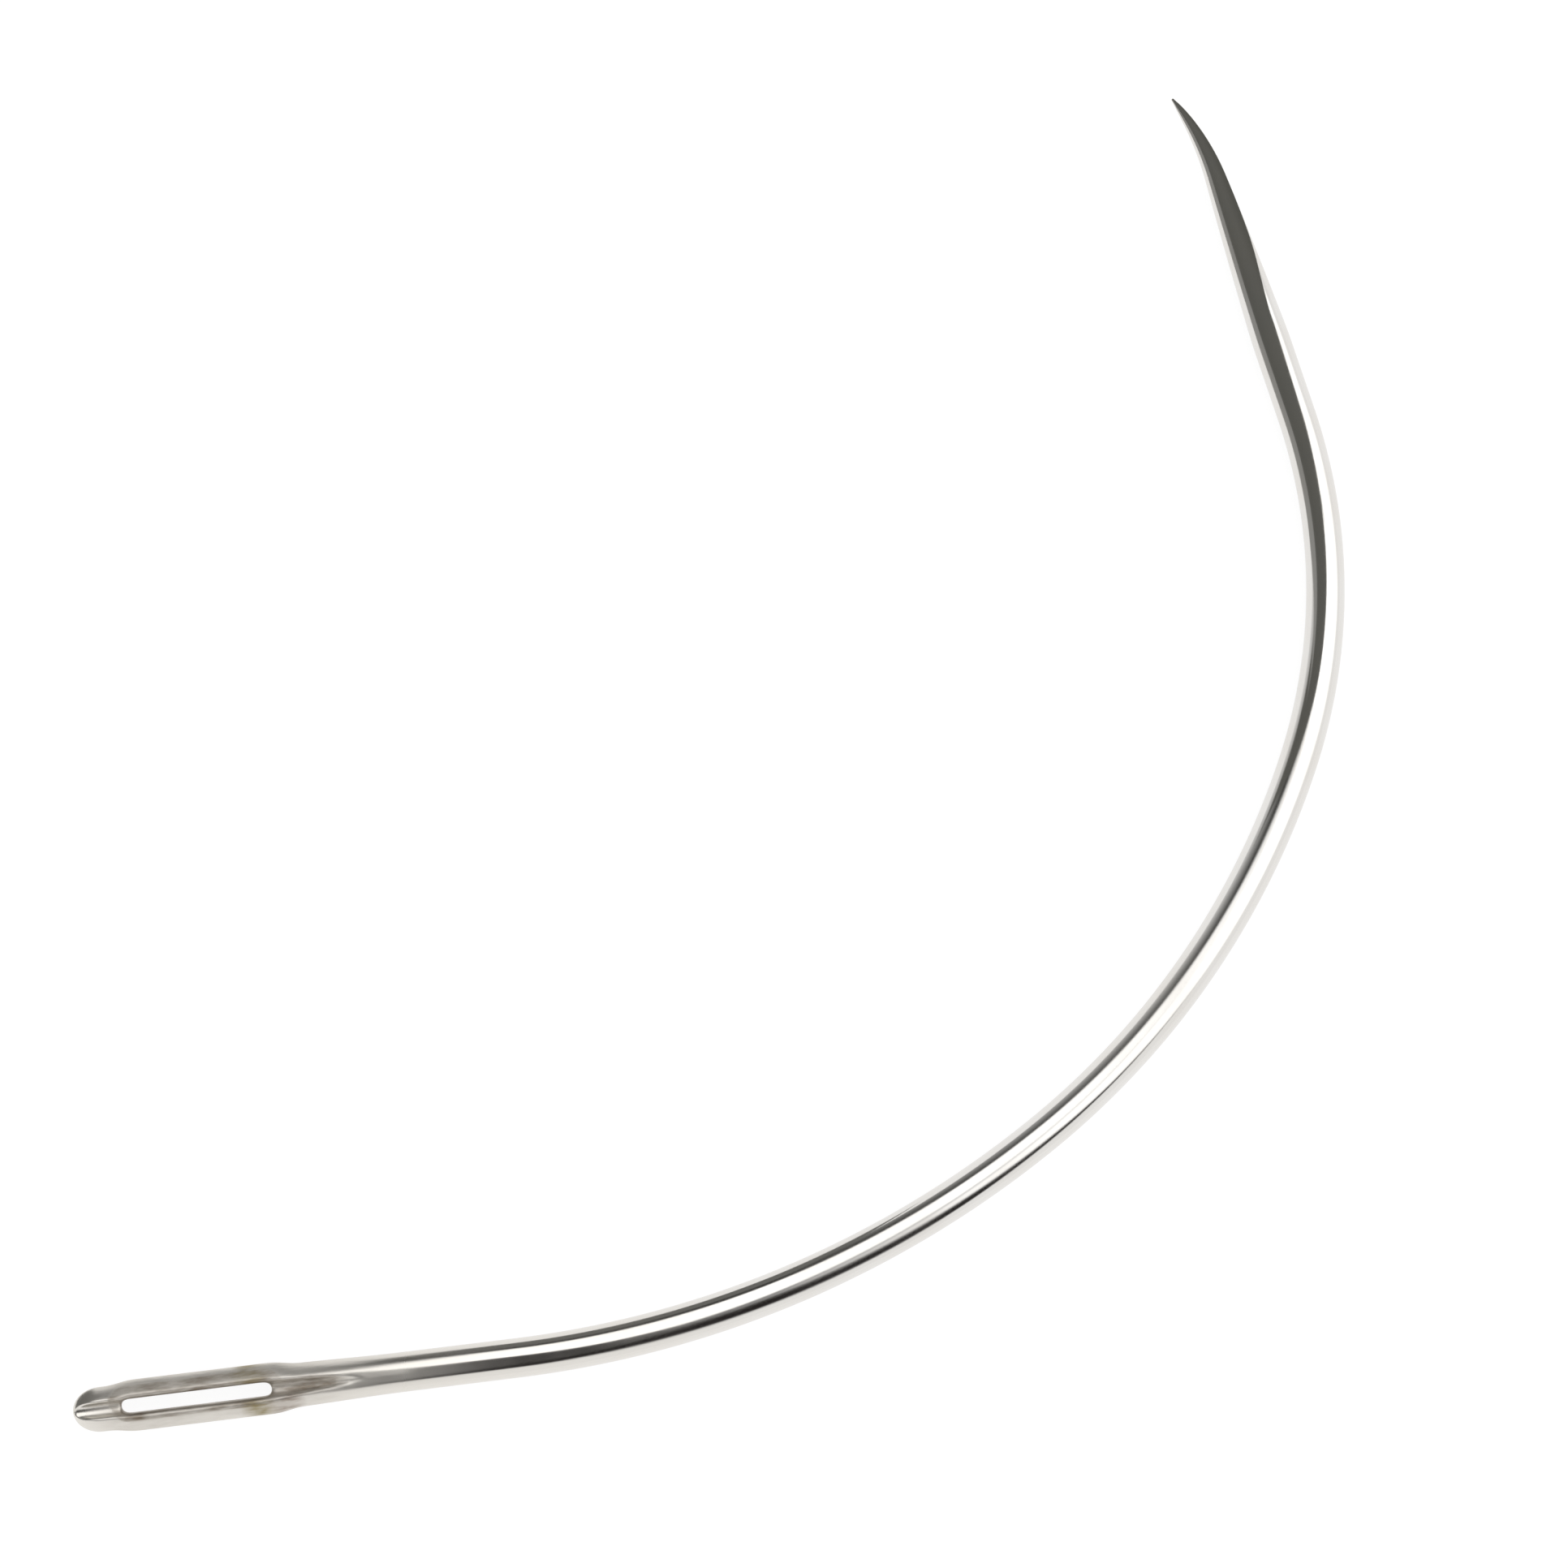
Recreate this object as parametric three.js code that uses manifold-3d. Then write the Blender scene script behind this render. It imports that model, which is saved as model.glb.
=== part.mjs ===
// Curved weaving needle: a length of steel wire with a pressed head and a long eye at one end,
// a round shank bent to a C, and a slender point that hooks a little further round at the other.
// Millimetres, +Z up. It lies flat: the origin is under the middle of its box, on the surface it
// lies on, +X runs along the chord from the head to the point, and the C opens towards +Y.
// It is made as the real one is: a straight blank is rounded and pointed, its head is pressed flat,
// grooved and pierced, and it is bent last. The head, the shank and the point are one piece of wire
// and one body, and they meet face to face where the pressing ends and where the pointing starts.

import * as THREE from "three";
import { mergeVertices, toCreasedNormals } from "three/addons/utils/BufferGeometryUtils.js";
import Module from "manifold-3d";

const wasm = await Module();
wasm.setup();

// Shank: drawn wire, a little thinner towards the point.
const SHANK_DIAMETER_AT_HEAD = 1.52;
const SHANK_DIAMETER_AT_POINT = 1.46;

// Head: the end of the wire, pressed flat between two dies, with a run-out from the eye to round wire.
const HEAD_WIDTH = 1.7;
const HEAD_THICKNESS = 1.05;
const HEAD_END_ROUND = 1.05;
const RUN_OUT_LENGTH = 5.1;

// Eye: a long slot pierced through the flats, which spreads the two rails beside it.
const EYE_FROM_END = 1.85;
const EYE_LENGTH = 5.75;
const EYE_WIDTH = 0.55;
const EYE_CHAMFER = 0.16;
const RAIL_BULGE = 0.13;
const RAIL_BULGE_RAMP = 1.1;

// Gutters: a half-round groove on each face, in line with the eye, so that the thread lies flush.
// It runs out over the end of the head. Beyond the eye it thins, rises out of the face and stops short
// of round wire.
const GUTTER_WIDTH = 0.6;
const GUTTER_STOPS_SHORT = 1.1;
const GUTTER_RISE = 0.08;

// Point: a slender ogive with a tiny round tip.
const POINT_LENGTH = 9.8;
const POINT_FULLNESS = 0.56;
const TIP_RADIUS = 0.06;

// Bends, in order from the head: straight stretches in millimetres, turns in degrees.
const HEAD_STRAIGHT = 17;
const FIRST_BEND = { radius: 39, turn: 32.5 };
const MIDDLE_BEND = { radius: 30.3, turn: 32.5 };
const LAST_BEND = { radius: 20.8, turn: 36.8 };
const POINT_STRAIGHT = 9.4;
const TIP_HOOK = { radius: 10, turn: 20 };

// Facets
const SIDES = 24;
const SHANK_RING_STEP = 1;
const HEAD_RING_STEP = 0.5;
const END_RINGS = 6;
const POINT_RINGS = 12;
const TIP_RINGS = 3;
const RUN_OUT_STEPS = 10;
const GUTTER_RINGS = 10;
const ARC_STEPS = 8;
const CREASE_ANGLE = 30;
const WELD = 1e-5;

const { degToRad, lerp, smoothstep } = THREE.MathUtils;
const QUARTER = Math.PI / 2;

// The centreline as a chain of stretches, each with a length and the angle that it turns through.
const straight = (length) => ({ length, angle: 0 });
const bend = ({ radius, turn }) => ({ length: radius * degToRad(turn), angle: degToRad(turn) });
const STRETCHES = [
  straight(HEAD_STRAIGHT),
  bend(FIRST_BEND),
  bend(MIDDLE_BEND),
  bend(LAST_BEND),
  straight(POINT_STRAIGHT),
  bend(TIP_HOOK),
];
const LENGTH = STRETCHES.reduce((sum, { length }) => sum + length, 0);
const EYE_END = EYE_FROM_END + EYE_LENGTH;
const HEAD_LENGTH = EYE_END + RUN_OUT_LENGTH;
const POINT_START = LENGTH - POINT_LENGTH;

// Where the centreline is, and which way it heads, at a distance from the end of the head.
function centreline(distance) {
  const at = new THREE.Vector2();
  let heading = 0;
  let left = distance;
  for (const { length, angle } of STRETCHES) {
    const walked = Math.min(left, length);
    const half = (angle * walked) / length / 2;
    const chord = half === 0 ? walked : (walked * Math.sin(half)) / half;
    at.x += chord * Math.cos(heading + half);
    at.y += chord * Math.sin(heading + half);
    heading += 2 * half;
    left -= walked;
  }
  return { at, heading };
}

// Radius of the straight blank at a distance from the end of the head.
function blankRadius(x) {
  const shank = lerp(SHANK_DIAMETER_AT_HEAD, SHANK_DIAMETER_AT_POINT, x / POINT_START) / 2;
  const fromTip = LENGTH - x;
  if (x < HEAD_END_ROUND) return shank * Math.sqrt(1 - (1 - x / HEAD_END_ROUND) ** 2);
  if (x < POINT_START) return shank;
  if (fromTip < TIP_RADIUS) return Math.sqrt(fromTip * (2 * TIP_RADIUS - fromTip));
  return Math.max(TIP_RADIUS, (SHANK_DIAMETER_AT_POINT / 2) * (fromTip / POINT_LENGTH) ** POINT_FULLNESS);
}

// How far the metal is spread sideways: pressing the head widens it, and piercing the eye more so.
function spread(x) {
  const pressed = 1 - smoothstep(x, EYE_END, HEAD_LENGTH);
  const rise = smoothstep(x, EYE_FROM_END - RAIL_BULGE_RAMP / 2, EYE_FROM_END + RAIL_BULGE_RAMP / 2);
  const fall = smoothstep(x, EYE_END, EYE_END + RAIL_BULGE_RAMP);
  const width = lerp(SHANK_DIAMETER_AT_HEAD, HEAD_WIDTH, pressed) + 2 * RAIL_BULGE * (rise - fall);
  return width / SHANK_DIAMETER_AT_HEAD;
}

// Height of a pressed face from the centreline: level along the eye, then running out to round wire.
const faceHeight = (x) =>
  lerp(HEAD_THICKNESS, SHANK_DIAMETER_AT_HEAD, smoothstep(x, EYE_END, HEAD_LENGTH)) / 2;

// Evenly spaced stations from one place to another, both included.
function stations(from, to, count) {
  return Array.from({ length: count + 1 }, (_, i) => lerp(from, to, i / count));
}

// The same, no further apart than a step.
const spaced = (from, to, step) => stations(from, to, Math.ceil((to - from) / step));

// A shape turned about the X axis, from its radius at each station, with flat ends where it has any.
function turned(places, radius) {
  const profile = places.map((x) => new THREE.Vector2(radius(x), x));
  const axis = (x) => new THREE.Vector2(0, x);
  const closed = [axis(places[0]), ...profile, axis(places.at(-1))];
  return new THREE.LatheGeometry(closed, SIDES).rotateZ(-QUARTER);
}

// Moves every vertex of a geometry by a function of its place.
function moved(geometry, move) {
  const places = geometry.attributes.position;
  const place = new THREE.Vector3();
  for (let i = 0; i < places.count; i++) {
    move(place.fromBufferAttribute(places, i));
    places.setXYZ(i, place.x, place.y, place.z);
  }
  return geometry;
}

// A closed geometry as a solid that can be cut.
function solid(geometry) {
  for (const name of ["normal", "uv"]) geometry.deleteAttribute(name);
  const merged = mergeVertices(geometry, WELD);
  const corners = merged.index.array;
  const triangles = [];
  for (let i = 0; i < corners.length; i += 3) {
    const [a, b, c] = corners.subarray(i, i + 3);
    if (a !== b && b !== c && c !== a) triangles.push(a, b, c);
  }
  const vertProperties = merged.attributes.position.array;
  const triVerts = Uint32Array.from(triangles);
  return new wasm.Manifold(new wasm.Mesh({ numProp: 3, vertProperties, triVerts }));
}

// What a die takes off the upper face: all that stands over the flat and its run-out.
function pressing() {
  const over = SHANK_DIAMETER_AT_HEAD;
  const outline = new THREE.Shape().moveTo(HEAD_LENGTH, over).lineTo(-over, over);
  outline.lineTo(-over, faceHeight(0));
  for (const x of stations(EYE_END, HEAD_LENGTH, RUN_OUT_STEPS)) outline.lineTo(x, faceHeight(x));
  const depth = 2 * (HEAD_WIDTH + 2 * RAIL_BULGE);
  const die = new THREE.ExtrudeGeometry(outline, { depth, bevelEnabled: false });
  return die.rotateX(QUARTER).translate(0, depth / 2, 0);
}

// The groove on the upper face: a rod laid along it, from outside the end of the head to past the eye.
function gutter() {
  const from = -GUTTER_WIDTH;
  const to = HEAD_LENGTH - GUTTER_STOPS_SHORT;
  const places = [from, ...stations(EYE_END, to, GUTTER_RINGS)];
  const outward = (x) => Math.max(0, (x - EYE_END) / (to - EYE_END));
  const radius = (x) => (GUTTER_WIDTH / 2) * (1 - outward(x) ** 2);
  return moved(turned(places, radius), (p) => {
    p.z += faceHeight(p.x) + GUTTER_RISE * outward(p.x);
  });
}

// The eye's outline, a slot with round ends.
function eyeOutline() {
  const radius = EYE_WIDTH / 2;
  return new THREE.Shape()
    .absarc(EYE_END - radius, 0, radius, -QUARTER, QUARTER)
    .absarc(EYE_FROM_END + radius, 0, radius, QUARTER, 3 * QUARTER);
}

// The eye itself, right through the head.
function piercing() {
  const depth = 2 * HEAD_THICKNESS;
  const settings = { depth, bevelEnabled: false, curveSegments: ARC_STEPS };
  return new THREE.ExtrudeGeometry(eyeOutline(), settings).translate(0, 0, -depth / 2);
}

// The slope round the eye on the upper face, so that no edge cuts the thread.
function countersink() {
  const slope = new THREE.ExtrudeGeometry(eyeOutline(), {
    depth: HEAD_THICKNESS,
    bevelThickness: EYE_CHAMFER,
    bevelSize: EYE_CHAMFER,
    bevelSegments: 1,
    curveSegments: ARC_STEPS,
  });
  return slope.translate(0, 0, HEAD_THICKNESS / 2);
}

// The head, still straight: its end rounded and spread, then pressed, grooved and pierced.
function head() {
  const end = stations(0, QUARTER, END_RINGS).map((angle) => HEAD_END_ROUND * (1 - Math.cos(angle)));
  const rest = spaced(HEAD_END_ROUND, HEAD_LENGTH, HEAD_RING_STEP);
  const blank = moved(turned([...end, ...rest.slice(1)], blankRadius), (p) => {
    p.y *= spread(p.x);
  });
  const onBothFaces = [pressing(), gutter(), countersink()];
  const cutters = onBothFaces.flatMap((cutter) => [cutter, cutter.clone().rotateX(Math.PI)]);
  let worked = solid(blank);
  for (const cutter of [...cutters, piercing()]) worked = worked.subtract(solid(cutter));
  const { vertProperties, triVerts } = worked.getMesh();
  const geometry = new THREE.BufferGeometry();
  geometry.setAttribute("position", new THREE.BufferAttribute(vertProperties, 3));
  return geometry.setIndex(new THREE.BufferAttribute(triVerts, 1));
}

// The shank, still straight.
function shank() {
  return turned(spaced(HEAD_LENGTH, POINT_START, SHANK_RING_STEP), blankRadius);
}

// The point, still straight: its rings crowd towards the tip, where it curves most.
function point() {
  const ogive = stations(1, 0, POINT_RINGS).map((t) => LENGTH - lerp(TIP_RADIUS, POINT_LENGTH, t ** 2));
  const round = stations(QUARTER, 0, TIP_RINGS).map((angle) => LENGTH - TIP_RADIUS * (1 - Math.cos(angle)));
  return turned([...ogive, ...round.slice(1)], blankRadius);
}

// Bends a straight geometry along the centreline, and shades it smooth between its sharp edges.
function bent(geometry) {
  moved(geometry, (p) => {
    const { at, heading } = centreline(p.x);
    p.x = at.x - p.y * Math.sin(heading);
    p.y = at.y + p.y * Math.cos(heading);
  });
  return toCreasedNormals(geometry, degToRad(CREASE_ANGLE));
}

// Nickel-plated steel, duller and warmer where the dies left it, brightest along the wire.
const WORKED_LENGTHS = {
  head: { shape: head, color: 0xb3ada3, roughness: 0.2 },
  shank: { shape: shank, color: 0xc9c7c3, roughness: 0.12 },
  point: { shape: point, color: 0xb9b8b5, roughness: 0.1 },
};
const needle = new THREE.Group();
for (const [name, { shape, color, roughness }] of Object.entries(WORKED_LENGTHS)) {
  const platedSteel = new THREE.MeshStandardMaterial({ color, roughness, metalness: 1 });
  const mesh = new THREE.Mesh(bent(shape()), platedSteel);
  mesh.name = name;
  needle.add(mesh);
}

// Laid down with its chord along X, its box centred over the origin and its lowest point at zero.
const tip = centreline(LENGTH).at;
needle.rotation.z = -Math.atan2(tip.y, tip.x);
const box = new THREE.Box3().setFromObject(needle, true);
const middle = box.getCenter(new THREE.Vector3());
needle.position.set(-middle.x, -middle.y, -box.min.z);

export default needle;
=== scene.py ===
# %% [markdown]
# # A curved weaving needle
# This lesson dresses one small part: a C-curved weaving needle of nickel-plated steel wire. It has a
# pressed head with a long eye, a round shank and a slender point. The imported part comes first, as a
# fixed frame at its real size, and everything made here is set against it.

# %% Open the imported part
import math
from itertools import pairwise

import bmesh
import bpy
from mathutils import Matrix, Vector


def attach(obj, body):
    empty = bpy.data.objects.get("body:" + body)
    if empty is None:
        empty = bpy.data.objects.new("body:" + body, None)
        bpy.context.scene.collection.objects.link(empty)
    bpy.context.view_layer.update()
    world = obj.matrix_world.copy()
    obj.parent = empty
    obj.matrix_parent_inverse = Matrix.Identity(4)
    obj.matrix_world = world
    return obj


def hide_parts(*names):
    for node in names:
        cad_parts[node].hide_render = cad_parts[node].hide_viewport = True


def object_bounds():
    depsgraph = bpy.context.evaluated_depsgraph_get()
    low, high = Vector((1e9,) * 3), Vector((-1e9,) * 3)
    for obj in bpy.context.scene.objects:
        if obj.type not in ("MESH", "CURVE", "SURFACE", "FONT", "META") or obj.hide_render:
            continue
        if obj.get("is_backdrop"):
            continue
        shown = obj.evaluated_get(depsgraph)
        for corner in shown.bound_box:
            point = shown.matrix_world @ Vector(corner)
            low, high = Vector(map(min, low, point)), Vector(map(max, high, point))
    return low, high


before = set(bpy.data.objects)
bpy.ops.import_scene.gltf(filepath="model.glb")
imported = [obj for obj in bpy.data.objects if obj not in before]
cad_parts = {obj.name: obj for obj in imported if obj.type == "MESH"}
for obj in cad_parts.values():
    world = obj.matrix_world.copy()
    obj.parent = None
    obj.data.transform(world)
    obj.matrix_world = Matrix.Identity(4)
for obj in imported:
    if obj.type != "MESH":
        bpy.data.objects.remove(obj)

MM = 0.001

cad_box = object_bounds()
print("solids in the frame:", sorted(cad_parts))
print("their box in mm:", [[round(c / MM, 2) for c in corner] for corner in cad_box])

# %% [markdown]
# ## The needle's sizes
# The sizes are those of the solids, in millimetres, measured along the straight wire from the end of
# the head. They are named once here, so a change of one size carries through the steps that shape the
# needle.

# %% Sizes
SHANK_DIAMETER_AT_HEAD = 1.52
SHANK_DIAMETER_AT_POINT = 1.46
HEAD_WIDTH = 1.7
HEAD_THICKNESS = 1.05
HEAD_END_ROUND = 1.05
RUN_OUT_LENGTH = 5.1
EYE_FROM_END = 1.85
EYE_LENGTH = 5.75
EYE_WIDTH = 0.55
EYE_SLOPE = 0.16
RAIL_BULGE = 0.13
RAIL_BULGE_RAMP = 1.1
GUTTER_WIDTH = 0.6
GUTTER_STOPS_SHORT = 1.1
GUTTER_RISE = 0.08
POINT_LENGTH = 9.8
POINT_FULLNESS = 0.56
TIP_RADIUS = 0.06
HEAD_STRAIGHT = 17
POINT_STRAIGHT = 9.4


def bend(radius, turn):
    """A stretch of wire that turns through an angle at a radius."""
    return radius * math.radians(turn), turn


# Stretches of the wire in order from the head, as (length, turn in degrees).
STRETCHES = [
    (HEAD_STRAIGHT, 0),
    bend(radius=39, turn=32.5),
    bend(radius=30.3, turn=32.5),
    bend(radius=20.8, turn=36.8),
    (POINT_STRAIGHT, 0),
    bend(radius=10, turn=20),
]

WIRE_LENGTH = sum(length for length, turn in STRETCHES)
EYE_END = EYE_FROM_END + EYE_LENGTH
HEAD_LENGTH = EYE_END + RUN_OUT_LENGTH
POINT_START = WIRE_LENGTH - POINT_LENGTH
print(f"wire {WIRE_LENGTH:.1f} mm, of which head {HEAD_LENGTH:.1f} and point {POINT_LENGTH:.1f}")

# %% [markdown]
# ## The camera
# The picture was taken from straight above, with the needle lying on its side. A long lens keeps the
# wire the same width all along, as it is there. The scale and the place come from three readings of
# the picture: how many pixels go to a millimetre, how far the needle's chord is turned from the
# horizontal, and the pixel over the part's origin.

# %% Camera over the needle
PICTURE_SIDE = 1932
PIXELS_PER_MM = 32.51
CHORD_TURN = math.radians(50.1)
ORIGIN_PIXEL = Vector((1045.7, 1167.3))
LENS = 160
SENSOR = 36
NEAREST_SEEN = 10 * MM

picture_to_part = Matrix.Rotation(-CHORD_TURN, 4, "Z")
from_origin = (Vector((PICTURE_SIDE, PICTURE_SIDE)) / 2 - ORIGIN_PIXEL) / PIXELS_PER_MM
aim = picture_to_part @ Vector((from_origin.x, -from_origin.y, 0)) * MM
aim.z = cad_box[1].z / 2
frame_side = PICTURE_SIDE / PIXELS_PER_MM * MM
camera_height = frame_side * LENS / SENSOR

camera_data = bpy.data.cameras.new("camera")
camera_data.lens = LENS
camera_data.sensor_width = SENSOR
camera_data.clip_start = NEAREST_SEEN
camera = bpy.data.objects.new("camera", camera_data)
camera.location = aim + Vector((0, 0, camera_height))
camera.rotation_euler = (0, 0, -CHORD_TURN)
scene = bpy.context.scene
scene.collection.objects.link(camera)
scene.camera = camera
scene.view_settings.view_transform = "Standard"
print(f"camera {camera_height / MM:.0f} mm over the needle, frame {frame_side / MM:.1f} mm wide")

# %% [markdown]
# ## Small helpers for shaders
# Colours are written as a painter would pick them, in sRGB hex, and turned into the linear values that
# shaders work in. One function adds a node with its settings and its links, so that a material reads
# as a list of what goes into what.


# %% Shader helpers
def linear(colour):
    """An sRGB hex colour as linear RGBA."""
    channels = [int(colour[i : i + 2], 16) / 255 for i in (1, 3, 5)]
    return (*[c / 12.92 if c <= 0.04045 else ((c + 0.055) / 1.055) ** 2.4 for c in channels], 1)


def add_node(tree, kind, inputs=None, **settings):
    """Adds a node. An input is a value, a socket, or a node whose first live output it takes."""
    node = tree.nodes.new("ShaderNode" + kind)
    for name, value in settings.items():
        setattr(node, name, value)
    for name, value in (inputs or {}).items():
        live = [socket for socket in node.inputs if socket.enabled and socket.name == name]
        target = live[0] if live else node.inputs[name]
        if isinstance(value, bpy.types.Node):
            value = next(socket for socket in value.outputs if socket.enabled)
        if isinstance(value, bpy.types.NodeSocket):
            tree.links.new(value, target)
        else:
            target.default_value = value
    return node


def cleared(block):
    """The node tree of a material or a world, emptied."""
    block.use_nodes = True
    block.node_tree.nodes.clear()
    return block.node_tree


WHITE = linear("#FFFFFF")
print("white in linear light:", WHITE)

# %% [markdown]
# ## The floor
# The needle lies on a plain white table. The table has to read as white without more light on the
# needle, so the camera, and the polished metal that mirrors it, see a part of the white as a glow of
# the table itself. The rest is lit, and that part keeps the needle's soft shadow.

# %% White table top
FLOOR_COLOUR = "#E7E7E7"
FLOOR_LIT_SHARE = "#7A7A7A"
FLOOR_GLOW = 0.86


def ray_kinds(tree):
    """Tells whether a ray comes from the camera, and whether a mirror or glass sent it on."""
    path = add_node(tree, "LightPath").outputs
    sent_on = {0: path["Is Glossy Ray"], 1: path["Is Transmission Ray"]}
    return path["Is Camera Ray"], add_node(tree, "Math", sent_on, operation="ADD")


table_top = bpy.data.materials.new("white_table")
tree = cleared(table_top)
camera_ray, mirrored = ray_kinds(tree)
seen = add_node(tree, "Math", {0: camera_ray, 1: mirrored}, operation="ADD")
lit = add_node(tree, "BsdfDiffuse", {"Color": linear(FLOOR_COLOUR)})
lit_share = add_node(tree, "BsdfDiffuse", {"Color": linear(FLOOR_LIT_SHARE)})
glow = add_node(tree, "Emission", {"Color": WHITE, "Strength": FLOOR_GLOW})
shown = add_node(tree, "AddShader", {0: lit_share, 1: glow})
either = add_node(tree, "MixShader", {0: seen, 1: lit, 2: shown})
add_node(tree, "OutputMaterial", {"Surface": either})
print("table that glows at", FLOOR_GLOW, "where it is seen")

# %% Floor
FLOOR_SIDE = 3


def square_sheet(side):
    """A flat square sheet round the origin."""
    sheet = bmesh.new()
    bmesh.ops.create_grid(sheet, x_segments=1, y_segments=1, size=side / 2)
    return sheet


floor_mesh = bpy.data.meshes.new("floor")
sheet = square_sheet(FLOOR_SIDE)
sheet.to_mesh(floor_mesh)
sheet.free()
floor = bpy.data.objects.new("floor", floor_mesh)
floor.data.materials.append(table_top)
scene.collection.objects.link(floor)
floor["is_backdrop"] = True
print(f"floor {FLOOR_SIDE} m square, at the height of the needle's lowest point")

# %% [markdown]
# ## The room that the wire mirrors
# A polished wire shows little colour of its own: what one sees is the room, squeezed into thin lines.
# The lines in the picture tell what stood round the needle. Each turn of the wire mirrors another side
# of the room, and together they show two round soft boxes that meet overhead, one towards the top of
# the picture and one towards the right. Between them and the white walls, the ceiling is dark: from
# overhead to the left, where it gets lighter, and in a band below the right soft box. The room is
# painted on the world for mirrored rays alone. To place a thing on it, a direction is flattened to a
# point: straight up is the middle, the horizon is one unit out, and circles stay circles.

# %% Directions as points on a disc
world = bpy.data.worlds.new("white_room")
scene.world = world
tree = cleared(world)
ray = add_node(tree, "TexCoord").outputs["Generated"]
facing = add_node(tree, "VectorRotate", {"Vector": ray, "Angle": CHORD_TURN}, rotation_type="Z_AXIS")
up = add_node(tree, "SeparateXYZ", {0: facing}).outputs["Z"]
one_more = add_node(tree, "Math", {0: up, 1: 1}, operation="ADD")
shrink = add_node(tree, "Math", {0: 1, 1: one_more}, operation="DIVIDE")
level = add_node(tree, "VectorMath", {0: facing, 1: (1, 1, 0)}, operation="MULTIPLY")
spot = add_node(tree, "VectorMath", {0: level, "Scale": shrink}, operation="SCALE")
on_disc = add_node(tree, "SeparateXYZ", {0: spot}).outputs
to_right = on_disc["X"]
to_top = on_disc["Y"]
print("straight up is the middle of the disc, the picture's right is +X on it")

# %% Around the two soft boxes
TOP_BOX = Vector((0.015, 0.31, 0))
TOP_BOX_RADIUS = 0.27
RIGHT_BOX = Vector((0.36, 0.05, 0))
RIGHT_BOX_RADIUS = 0.335
BOX_EDGE = 0.03

from_top = add_node(tree, "VectorMath", {0: spot, 1: TOP_BOX}, operation="DISTANCE")
top_rim = {"Value": from_top, "From Min": TOP_BOX_RADIUS, "From Max": TOP_BOX_RADIUS + BOX_EDGE}
beside_top = add_node(tree, "MapRange", top_rim, interpolation_type="SMOOTHSTEP")
from_right = add_node(tree, "VectorMath", {0: spot, 1: RIGHT_BOX}, operation="DISTANCE")
right_rim = {"Value": from_right, "From Min": RIGHT_BOX_RADIUS, "From Max": RIGHT_BOX_RADIUS + BOX_EDGE}
beside_right = add_node(tree, "MapRange", right_rim, interpolation_type="SMOOTHSTEP")
around = add_node(tree, "Math", {0: beside_top, 1: beside_right}, operation="MULTIPLY")
print("soft boxes", TOP_BOX_RADIUS, "and", RIGHT_BOX_RADIUS, "in radius on the disc")

# %% Dark ceiling
CEILING_HEADING = (-0.42, 0.91, 0)
CEILING_EDGE = 0.06
CEILING_SOFTNESS = 0.03
CEILING_LIGHTENS = 0.3
CEILING_ENDS = 1.1
CEILING_COLOUR = "#3C3C3A"

over = add_node(tree, "VectorMath", {0: spot, 1: CEILING_HEADING}, operation="DOT_PRODUCT")
over_edge = {
    "Value": over,
    "From Min": CEILING_EDGE - CEILING_SOFTNESS,
    "From Max": CEILING_EDGE + CEILING_SOFTNESS,
}
overhead = add_node(tree, "MapRange", over_edge, interpolation_type="SMOOTHSTEP")
fading = {"Value": to_right, "From Min": -CEILING_ENDS, "From Max": -CEILING_LIGHTENS}
fade = add_node(tree, "MapRange", fading)
overhead_dark = add_node(tree, "Math", {0: overhead, 1: fade}, operation="MULTIPLY")
ceiling = add_node(tree, "Math", {0: overhead_dark, 1: around}, operation="MULTIPLY")
ceiling_over_white = {"Factor": ceiling, "A": WHITE, "B": linear(CEILING_COLOUR)}
with_ceiling = add_node(tree, "Mix", ceiling_over_white, data_type="RGBA")
print("ceiling dark from overhead to", CEILING_LIGHTENS, "on the left, white at", CEILING_ENDS)

# %% Dark band below the right soft box
BAND_OUTER = 0.6
BAND_THINS_FROM = 0.28
BAND_THINS_TO = 0.47
BAND_TOP = 0
BAND_SOFTNESS = 0.06
BAND_COLOUR = "#171211"

thinning = {
    "Value": to_right,
    "From Min": BAND_THINS_FROM,
    "From Max": BAND_THINS_TO,
    "To Min": BAND_OUTER,
    "To Max": RIGHT_BOX_RADIUS,
}
band_edge = add_node(tree, "MapRange", thinning, interpolation_type="SMOOTHSTEP")
past_band = add_node(tree, "Math", {0: from_right, 1: band_edge}, operation="SUBTRACT")
band_rim = {"Value": past_band, "From Min": BAND_SOFTNESS, "From Max": -BAND_SOFTNESS}
in_band = add_node(tree, "MapRange", band_rim, interpolation_type="SMOOTHSTEP")
below_top = {"Value": to_top, "From Min": BAND_TOP, "From Max": BAND_TOP - BOX_EDGE}
low_down = add_node(tree, "MapRange", below_top, interpolation_type="SMOOTHSTEP")
low_band = add_node(tree, "Math", {0: in_band, 1: low_down}, operation="MULTIPLY")
band = add_node(tree, "Math", {0: low_band, 1: around}, operation="MULTIPLY")
band_over_ceiling = {"Factor": band, "A": with_ceiling, "B": linear(BAND_COLOUR)}
room = add_node(tree, "Mix", band_over_ceiling, data_type="RGBA")
print("band", round(BAND_OUTER - RIGHT_BOX_RADIUS, 2), "wide at the middle, thinning to the right")

# %% Room for mirrored rays, plain white for the camera, plain light for the rest
ROOM_LEVEL = 0.78

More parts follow.
